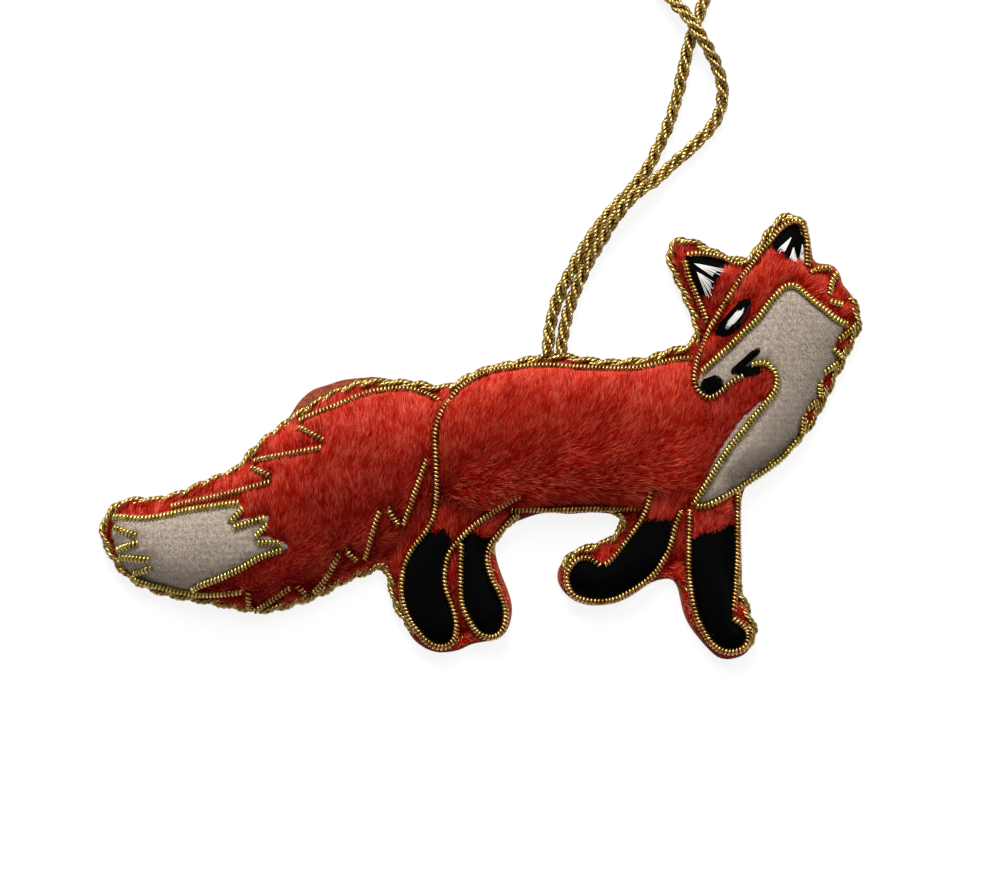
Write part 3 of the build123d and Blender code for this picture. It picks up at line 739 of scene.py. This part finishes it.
# %% Coils of purl
TURN = 0.66 * MM
POINTS_PER_TURN = 9
PURL_WIRE = 0.48 * MM
PURL_LIFT = 0.5 * MM
STIFFNESS_PASSES = 200
PALE_PURL = ("tail_tip", "chest", "cheek", "ruff")
for name, lines in purl_lines.items():
    coils = []
    for line in lines:
        flat = evenly(line, TURN / POINTS_PER_TURN)
        heights = [on_front(point).z + PURL_LIFT + PURL_DIAMETER / 2 for point in flat]
        for _ in range(STIFFNESS_PASSES):
            padded = [heights[1]] + heights + [heights[-2]]
            heights = [(a + b + c) / 3 for a, b, c in zip(padded, padded[1:], padded[2:])]
        laid = [Vector((point.x, point.y, height)) for point, height in zip(flat, heights)]
        slope = length_of(laid) / length_of(flat)
        coils.append(wound(laid, (PURL_DIAMETER - PURL_WIRE) / 2, TURN * slope))
    finish = pale_gilt_wire if name in PALE_PURL else gilt_wire
    strung(name + "_purl_coil", coils, PURL_WIRE, finish, [name + "_purl"], sides=1)

# %% [markdown]
# ## Felt patches
# The tail tip and the cheek and chest are cut from pale felt and laid on the plush under their
# outline of purl. They could be painted on the plush, but felt has a cut edge and hides the pile,
# so each is a sheet of its own that stands a little proud.

# %% Felt shapes
FELT = {
    "tail_tip_felt": (-482,-104, -440,-107, -400,-100, -360,-92, -318,-85, -312,-98, -325,-112,
        -275,-104, -280,-120, -290,-130, -262,-136, -247,-147, -262,-155, -300,-168, -345,-191,
        -375,-204, -400,-207, -440,-198, -455,-190, -468,-172, -477,-155, -482,-135, -481,-116),
    "chest_felt": (290,83, 308,99, 327,116, 345,135, 364,153, 379,175, 395,192, 412,196, 428,182,
        447,167, 465,152, 481,145, 470,130, 462,114, 470,98, 455,84, 447,70, 443,48, 428,34,
        423,20, 418,0, 397,-27, 373,-46, 345,-64, 315,-83, 283,-93, 285,-82, 293,-59, 303,-37,
        316,-13, 330,8, 344,26, 361,41, 380,54, 388,69, 385,84, 372,95, 355,92, 344,77, 323,64,
        301,47, 284,58, 280,67),
}
FELT_RISE = 0.55 * MM
for name, numbers in FELT.items():
    patch = trimmed_grid(evenly(seen_line(numbers), 1.0 * MM, closed=True), 0.45 * MM)
    for vertex in patch.verts:
        vertex.co.z = on_front(vertex.co, 0.0 if vertex.is_boundary else FELT_RISE).z
    piece(name + "_patch", mesh_from(patch, name), pale_felt, [name])

# %% [markdown]
# ## Stitched thread
# The stockings, the eye, the nose, the mouth and the ears are satin stitch: threads side by side
# across a shape. A flat black patch would have no sheen of thread, so each thread is laid singly.

# %% Satin stitch
def compass(degrees):
    """The flat direction at an angle from the direction of the muzzle."""
    angle = math.radians(degrees)
    return Vector((math.cos(angle), math.sin(angle), 0))


def satin(numbers, heading, spacing, lift, ragged, spread):
    """Parallel threads across a shape, each from edge to edge, following the cloth."""
    edge = seen_line(numbers)
    edge = [point + spread * (edge[i - 1] - edge[(i + 1) % len(edge)]).cross(UP).normalized()
            for i, point in enumerate(edge)]
    along = compass(heading)
    across = Vector((-along.y, along.x, 0))
    levels = [p.dot(across) for p in edge]
    threads = []
    for k in range(1, int((max(levels) - min(levels)) / spacing)):
        level = min(levels) + k * spacing
        cuts = []
        for a, b in zip(edge, edge[1:] + edge[:1]):
            da, db = a.dot(across) - level, b.dot(across) - level
            if (da > 0) != (db > 0):
                cuts.append(a.lerp(b, da / (da - db)))
        cuts.sort(key=lambda p: p.dot(along))
        for start, end in zip(cuts[::2], cuts[1::2]):
            end = end + along * random.uniform(0, ragged)
            if (end - start).length < spacing:
                continue
            run = evenly([start, end], 0.6 * MM)
            last = len(run) - 1
            # Each thread arches over its padding, and its ends stay just above the cloth
            threads.append([on_front(p, lift * math.sin(math.pi * (0.12 + 0.76 * i / last)))
                            for i, p in enumerate(run)])
    return threads


def thread(name, colour, roughness, specular=0.5):
    """Rayon embroidery thread."""
    return new_material(name, {"Base Color": linear(colour), "Roughness": roughness,
                               "Specular IOR Level": specular})[0]


black_thread = thread("black_rayon_thread", "010101", 0.85, 0.05)
white_thread = thread("white_rayon_thread", "CFCCC8", 0.55)
maroon_thread = thread("maroon_rayon_thread", "360504", 0.8, 0.1)

# %% What is stitched: its thread, and each shape with the heading of the threads
# Threads, and in mm their distance, thickness, lift, raggedness, and spread past the shape
STOCKING = (black_thread, 0.26, 0.338, 0.7, 0.9, 0.5)
EYE = (black_thread, 0.22, 0.286, 0.7, 0.1, 0.1)
GLINT = (white_thread, 0.18, 0.234, 0.9, 0.1, 0.0)
NOSE = (black_thread, 0.2, 0.26, 1.2, 0.1, 0.12)
MOUTH = (black_thread, 0.2, 0.26, 1.1, 0.0, 0.15)
SHADE = (maroon_thread, 0.2, 0.26, 0.8, 0.0, 0.0)
EAR = (black_thread, 0.22, 0.28, 0.7, 0.0, 0.5)
STITCHED = {
    "near_hind_stocking": (STOCKING, [(84, (-76,-136, -66,-131, -58,-134, -50,-130, -42,-137,
        -46,-160, -51,-188, -50,-206, -40,-236, -36,-256, -44,-271, -56,-273, -70,-264, -86,-244,
        -96,-220, -98,-196, -94,-170, -86,-150))]),
    "far_hind_stocking": (STOCKING, [(86, (-22,-138, -10,-134, 2,-138, 9,-137, 5,-160, 8,-184,
        18,-206, 29,-232, 27,-250, 16,-260, 4,-257, -10,-242, -19,-222, -22,-190))]),
    "near_foreleg_stocking": (STOCKING, [(52, (208,-121, 220,-114, 232,-118, 247,-114, 246,-140,
        236,-162, 218,-182, 192,-200, 168,-211, 146,-212, 126,-206, 118,-194, 118,-180, 128,-168,
        145,-168, 158,-176, 170,-173, 186,-155, 200,-137))]),
    "far_foreleg_stocking": (STOCKING, [(88, (279,-141, 292,-134, 308,-131, 320,-122, 331,-119,
        331,-160, 330,-206, 325,-240, 336,-252, 344,-258, 344,-270, 334,-278, 320,-279, 306,-268,
        293,-246, 284,-220, 279,-190))]),
    "eye": (EYE, [(48, (353,178, 344,178, 333,172, 322,160, 313,148, 307,135, 309,128, 317,126,
        328,131, 337,138, 348,148, 353,160, 355,171))]),
    "eye_glint": (GLINT, [(50, (347,169, 347,165, 339,153, 328,141, 320,135, 317,137, 321,146,
        329,156, 339,166))]),
    "nose": (NOSE, [(20, (289,67, 293,73, 302,77, 311,77, 317,71, 317,62, 310,55, 301,51, 292,55,
        288,61))]),
    "mouth": (MOUTH, [(42, (327,82, 334,93, 344,101, 355,108, 362,114, 366,114, 366,110, 360,104,
        351,96, 342,88, 334,80, 328,79)), (3, (334,80, 341,87, 351,90, 361,88, 372,83, 361,78,
        350,77, 342,77))]),
    "eye_shade": (SHADE, [(52, (351,172, 354,169, 352,157, 344,146, 337,139, 329,138, 339,149,
        347,162))]),
    "near_ear_lining": (EAR, [(-42, (271,232, 289,232, 308,227, 322,221, 315,215, 308,199, 301,188,
        294,178, 287,190, 280,204, 273,219))]),
    "far_ear_lining": (EAR, [(75, (414,270, 419,264, 420,247, 418,226, 412,226, 406,229, 400,229,
        397,237, 390,238, 380,242, 385,254, 394,265, 402,272))]),
}
for name, ((finish, *sizes), shapes) in STITCHED.items():
    spacing, thickness, lift, ragged, spread = [size * MM for size in sizes]
    threads = [one for heading, numbers in shapes
               for one in satin(numbers, heading, spacing, lift, ragged, spread)]
    strung(name + "_thread", threads, thickness, finish,
           [name] if name in frame["nodes"] else [])

# %% White fans in the ears
# Each fan: where its threads start, and the two ends of the line on which they end
EAR_FANS = {
    "near_ear_white": [(279,224, 322,216, 308,204), (283,213, 307,199, 296,176)],
    "far_ear_white": [(406,258, 386,241, 396,235), (409,245, 403,229, 414,226),
                      (420,249, 417,226, 424,224)],
}
FAN_THREADS = 10
for name, fans in EAR_FANS.items():
    threads = []
    for fan in fans:
        start, a, b = seen_line(fan)
        for k in range(FAN_THREADS):
            end = a.lerp(b, (k + random.uniform(0.1, 0.9)) / FAN_THREADS)
            end = start.lerp(end, random.uniform(0.75, 1.1))
            run = evenly([start.lerp(end, random.uniform(0.0, 0.15)), end], 0.4 * MM)
            threads.append([on_front(point, 1.0 * MM) for point in run])
    strung(name, threads, 0.15 * MM, white_thread)

# %% [markdown]
# ## Brushed pile
# Plush gets its depth from short fibres that all lean one way, and the pile parts beside each wire.
# The colour of each fibre paints shade at its root and light at its tip, with a painted highlight
# on the lightest fibres. Hair particles could draw it, but they aren't part of an exported model,
# so real fibres, each a slim three-sided spike, are scattered by geometry nodes and kept as mesh.
# Each fibre carries how far along it a point is, and a shade of its own.

# %% One fibre, a unit long and a unit wide
spike = bmesh.new()
bmesh.ops.create_cone(spike, cap_ends=True, segments=3, radius1=0.5, radius2=0.0, depth=1.0)
bmesh.ops.remove_doubles(spike, verts=spike.verts, dist=0.001)
bmesh.ops.translate(spike, vec=(0, 0, 0.5), verts=spike.verts)
fibre_data = mesh_from(spike, "spike", smooth=False)
# How far along the fibre a point is, from 0 at the root to 1 at the tip; the pile colour uses it to
# paint shade at the root and light at the tip
along = fibre_data.attributes.new("along", "FLOAT", "POINT")
along.data.foreach_set("value", [vertex.co.z for vertex in fibre_data.vertices])
fibre = linked("spike", fibre_data)
print("a fibre has", len(fibre_data.polygons), "faces")

# %% Fibres scattered over a cloth
CLUMP = 0.7 * MM


def dress(data, settings):
    """Writes density, comb and grow on the vertices of a cloth that fibres will grow from."""
    names = {"density": "FLOAT", "comb": "FLOAT_VECTOR", "grow": "FLOAT_VECTOR"}
    made = {name: data.attributes.new(name, kind, "POINT").data for name, kind in names.items()}
    for i, (density, comb, grow) in enumerate(settings):
        made["density"][i].value = density
        made["comb"][i].vector = comb
        made["grow"][i].vector = (1, 1, max(0.3, grow) if density else 0.1)


def scatter(name, cloth_data, settings, sizes, seed, material):
    """A piece of fibres that grow from a cloth, each with a width, a length and a stray heading."""
    width, length, stray = sizes
    dress(cloth_data, settings)
    tree = bpy.data.node_groups.new(name, "GeometryNodeTree")
    for way in ("INPUT", "OUTPUT"):
        tree.interface.new_socket("Geometry", in_out=way, socket_type="NodeSocketGeometry")

    def read(attribute, kind="FLOAT_VECTOR"):
        return add(tree, "GeometryNodeInputNamedAttribute", {"Name": attribute},
                   data_type=kind).outputs[0]

    def between(low, high, salt):
        return add(tree, "FunctionNodeRandomValue", {0: low, 1: high, "Seed": seed + salt},
                   data_type="FLOAT_VECTOR").outputs[0]

    def joined(operation, a, b):
        return add(tree, "ShaderNodeVectorMath", {0: a, 1: b}, operation=operation).outputs[0]

    start = add(tree, "NodeGroupInput")
    points = add(tree, "GeometryNodeDistributePointsOnFaces",
                 {"Mesh": start.outputs[0], "Density": read("density", "FLOAT"), "Seed": seed})
    heading = joined("ADD", read("comb"), between([-stray] * 3, [stray] * 3, 0))
    turn = add(tree, "FunctionNodeAlignRotationToVector", {"Vector": heading}, axis="Z")
    size = between((0.8 * width, 0.8 * width, 0.7 * length),
                   (1.3 * width, 1.3 * width, 1.25 * length), 1)
    model = add(tree, "GeometryNodeObjectInfo", {"Object": fibre})
    grown = add(tree, "GeometryNodeInstanceOnPoints",
                {"Points": points.outputs["Points"], "Instance": model.outputs["Geometry"],
                 "Rotation": turn.outputs[0], "Scale": joined("MULTIPLY", size, read("grow"))})
    # The shade: half of it is shared by a clump, and half is the fibre's own. It sets each
    # fibre's tone, and the pile colour puts a painted highlight on the highest shades
    spot = add(tree, "GeometryNodeInputPosition")
    clump = add(tree, "ShaderNodeTexNoise",
                {"Vector": spot.outputs[0], "Scale": 1 / CLUMP, "Detail": 1.0})
    shared = add(tree, "ShaderNodeMapRange",
                 {"Value": clump.outputs[0], "From Min": 0.3, "From Max": 0.7})
    own = add(tree, "FunctionNodeRandomValue", {2: 0.0, 3: 0.5, "Seed": seed + 2},
              data_type="FLOAT")
    shade = maths(tree, "MULTIPLY_ADD", shared.outputs[0], 0.5, own.outputs[1])
    shaded = add(tree, "GeometryNodeStoreNamedAttribute",
                 {"Geometry": grown.outputs[0], "Name": "shade", "Value": shade},
                 data_type="FLOAT", domain="INSTANCE")
    real = add(tree, "GeometryNodeRealizeInstances", {"Geometry": shaded.outputs[0]})
    add(tree, "NodeGroupOutput", {0: real.outputs[0]})
    holder = linked("holder", cloth_data)
    holder.modifiers.new("scatter", "NODES").node_group = tree
    graph = bpy.context.evaluated_depsgraph_get()
    data = bpy.data.meshes.new_from_object(holder.evaluated_get(graph))
    bpy.data.objects.remove(holder)
    data.name = name
    data.materials.clear()
    print(name, "fibres", len(data.vertices) // 4, "faces", len(data.polygons))
    piece(name, data, material)


# %% Pile material
def pile_material(name, root, tip, painted_root_shade, painted_highlight):
    """Polyester pile: painted shade at the roots, painted light at the tips, each fibre a little
    different.
    """
    material, shader = new_material(name, {"Roughness": 0.5, "Specular IOR Level": 0.07})
    along = add(material, "ShaderNodeAttribute", attribute_name="along").outputs["Fac"]
    shade = add(material, "ShaderNodeAttribute", attribute_name="shade").outputs["Fac"]
    mixed = maths(material, "MULTIPLY_ADD", mottling(material, 4 * MM, 2.0), 0.5, shade)
    # Painted shade at the roots: from the darkest painted shade up to the root colour
    low = ramp(material, mixed, [(0.4, painted_root_shade), (1.0, root)])
    # Painted light at the tips: from the root colour up to the tip colour, and a painted highlight
    # on the lightest fibres
    high = ramp(material, mixed, [(0.35, root), (0.75, tip), (1.15, painted_highlight)])
    # Along each fibre the colour goes from the painted shade at its root to the painted light at
    # its tip
    colour = add(material, "ShaderNodeMix", {"Factor": along, 6: low, 7: high}, data_type="RGBA")
    feed(shader, {"Base Color": colour.outputs[2]})
    return material


# Each gets a root, a tip, a deepest and a brightest colour: the root colours are painted shade, the
# tip colours painted light, the brightest a painted highlight
red_pile = pile_material("brushed_red_pile", "AC0C03", "DA2A14", "6E0200", "F47C60")
pale_fuzz = pile_material("brushed_pale_felt", "908375", "A89B8F", "7F7266", "B4AAA0")
felt_fuzz = pile_material("brushed_red_felt", "8A452E", "B07050", "70341F", "C08E70")

# %% Where pile can grow
PILE_LENGTH = 2.1 * MM
PARTING = 0.62 * MM
pile_limit = moved_in(0.9 * MM, 0.7 * MM)
over_pile = list(FELT.values()) + [numbers for (finish, *sizes), shapes in STITCHED.values()
                                   if finish is black_thread for heading, numbers in shapes]
covers = [seen_line(numbers) for numbers in over_pile]
covers = [(*box(edge), edge) for edge in covers]


def covered(point):
    """True over felt or stitching, right beside a purl wire, and outside the cord."""
    if wire_tree.find(point.xy.to_3d())[2] < PARTING or not inside(point, pile_limit):
        return True
    return any(low.x < point.x < high.x and low.y < point.y < high.y and inside(point, edge)
               for low, high, edge in covers)


print("covered shapes", len(covers))

# %% How the pile leans
COMB = {"tail": 84, "body": 62, "head": 58, "near_ear": 75, "far_ear": 75}
LEG_COMB = 80
BODY_TURN = 2000  # degrees for each metre up the fox
LEAN = math.radians(64)
CHIN = place(320, 50)
CHEEK_TOP = place(0, 95)
RUMP_END = place(110, 0)
STEPS = 4
BARE = (None, (0, 0, 1), 1.0)


def dressing(vertex):
    """Which lobe a vertex of the front is on, its combing direction and how long a fibre fits."""
    spot, normal = vertex.co, vertex.normal
    if spot.z <= BACK_THICKNESS + 0.1 * MM:
        return BARE
    lobe = packed_height(spot)[1] or "body"
    drift = noise.noise(spot / (9 * MM)) * 35 + noise.noise(spot / (3 * MM)) * 20
    below_chin = lobe == "head" and spot.y < (CHEEK_TOP.y if spot.x > CHIN.x else CHIN.y)
    combed = "body" if below_chin else lobe
    turn = BODY_TURN * spot.y if combed == "body" else 0
    flat = compass(COMB.get(combed, LEG_COMB) + drift + turn)
    if lobe == "body":
        lobe = "rump" if spot.x < RUMP_END.x else "shoulder"
    free = 0
    while free < STEPS and not covered(spot + flat * PILE_LENGTH * free / STEPS):
        free += 1
    # A fibre that would reach over a wire stands up and is kept short
    lying = max(0.0, 1.0 - 0.15 * free) if free < STEPS else 0.0
    along = flat - normal * flat.dot(normal)
    if along.length > 0.25:
        along.normalize()
    else:
        along = DOWN
        free = min(free, 1)
    heading = normal * (math.cos(LEAN) + 0.3 * lying) + along * math.sin(LEAN)
    return lobe, heading, free / STEPS


dressings = [dressing(vertex) for vertex in front_data.vertices]
print("bare places", dressings.count(BARE), "of", len(dressings))

# %% Pile, region by region
REGIONS = {"tail_pile": ["tail"], "rump_pile": ["rump"], "shoulder_pile": ["shoulder"],
           "head_pile": ["head", *EARS], "leg_pile": LEGS}
PILE_DENSITY = 32e6  # fibres for each square metre
for seed, (name, lobes) in enumerate(REGIONS.items()):
    settings = [(PILE_DENSITY if lobe in lobes and grow > 0 else 0.0, comb, grow)
                for lobe, comb, grow in dressings]
    scatter(name, front_data.copy(), settings, (0.14 * MM, PILE_LENGTH, 0.3), 10 * seed,
            red_pile)

# %% Fuzz on the pale felt
FUZZ_DENSITY = 16e6
for seed, name in enumerate(FELT):
    patch = bpy.data.objects[name + "_patch"].data.copy()
    settings = [(FUZZ_DENSITY, vertex.normal * 0.5, 1.0) for vertex in patch.vertices]
    scatter(name + "_fuzz", patch, settings, (0.08 * MM, 0.45 * MM, 0.9), 60 + seed,
            pale_fuzz)

# %% Fuzz on the rim of the felt back
FUZZ_RIM = 1.6 * MM
RIM_DENSITY = 14e6
rim_tree = near_tree(back_line)
rim = trimmed_grid(back_line, 0.6 * MM)
bmesh.ops.translate(rim, vec=(0, 0, BACK_THICKNESS), verts=rim.verts)
rim_data = mesh_from(rim, "rim")
settings = []
for vertex in rim_data.vertices:
    nearest, _, reach = rim_tree.find(vertex.co.xy.to_3d())
    outwards = (Vector((nearest.x, nearest.y, BACK_THICKNESS)) - vertex.co).normalized()
    settings.append((RIM_DENSITY if reach < FUZZ_RIM else 0.0,
                     0.5 * UP + 0.5 * outwards, 1.0))
scatter("felt_back_fuzz", rim_data, settings, (0.09 * MM, 0.5 * MM, 0.7), 70, felt_fuzz)
bpy.data.objects.remove(fibre)

# %% [markdown]
# ## Floor and light
# The ornament lies on plain white. The floor could be lit until it is white, but the fox would be
# burnt out, so the floor shows its own white to the camera and to the metal, and still takes a
# faint shadow. One wide soft lamp above the head gives the pile its shading, and a small one puts
# sparks on the wire.

# %% Floor
FLOOR_REACH = 1.5
FLOOR_DROP = 0.05 * MM
FLOOR_GLOW = 0.86
corners = [(x * FLOOR_REACH, y * FLOOR_REACH, -FLOOR_DROP)
           for x, y in ((-1, -1), (1, -1), (1, 1), (-1, 1))]
floor_data = bpy.data.meshes.new("floor")
floor_data.from_pydata(corners, [], [(0, 1, 2, 3)])
linked("floor", floor_data)
paper = bpy.data.materials.new("white_paper")
paper.use_nodes = True
paper.node_tree.nodes.clear()
rays = add(paper, "ShaderNodeLightPath").outputs
direct = maths(paper, "MAXIMUM", rays["Is Camera Ray"], rays["Is Glossy Ray"])
share = maths(paper, "MULTIPLY", direct, FLOOR_GLOW)
matt = add(paper, "ShaderNodeBsdfDiffuse", {"Color": linear("FFFFFF")})
glow = add(paper, "ShaderNodeEmission", {"Color": linear("FFFFFF"), "Strength": 1.0})
mixed = add(paper, "ShaderNodeMixShader",
            {0: share, 1: matt.outputs[0], 2: glow.outputs[0]})
add(paper, "ShaderNodeOutputMaterial", {"Surface": mixed.outputs[0]})
floor_data.materials.append(paper)
print("floor", 2 * FLOOR_REACH, "m wide")

# %% Lamps and sky
SKY_STRENGTH = 0.38
world = bpy.data.worlds.new("studio")
bpy.context.scene.world = world
world.use_nodes = True
rays = add(world, "ShaderNodeLightPath").outputs
strength = maths(world, "MAXIMUM", rays["Is Camera Ray"], SKY_STRENGTH)
feed(world.node_tree.nodes["Background"], {"Color": (1, 1, 1, 1), "Strength": strength})


def lamp(name, spot, size, power):
    """A square soft lamp that faces the fox."""
    data = bpy.data.lights.new(name, "AREA")
    data.size = size
    data.energy = power
    made = linked(name, data)
    made.location = spot
    made.rotation_mode = "QUATERNION"
    made.rotation_quaternion = (-Vector(spot)).to_track_quat("-Z", "Y")
    print("lamp", name, power, "W")


lamp("soft_lamp", (-0.1, 0.7, 0.58), 0.45, 11.6)
lamp("small_lamp", (0.3, 0.35, 0.6), 0.1, 1.5)
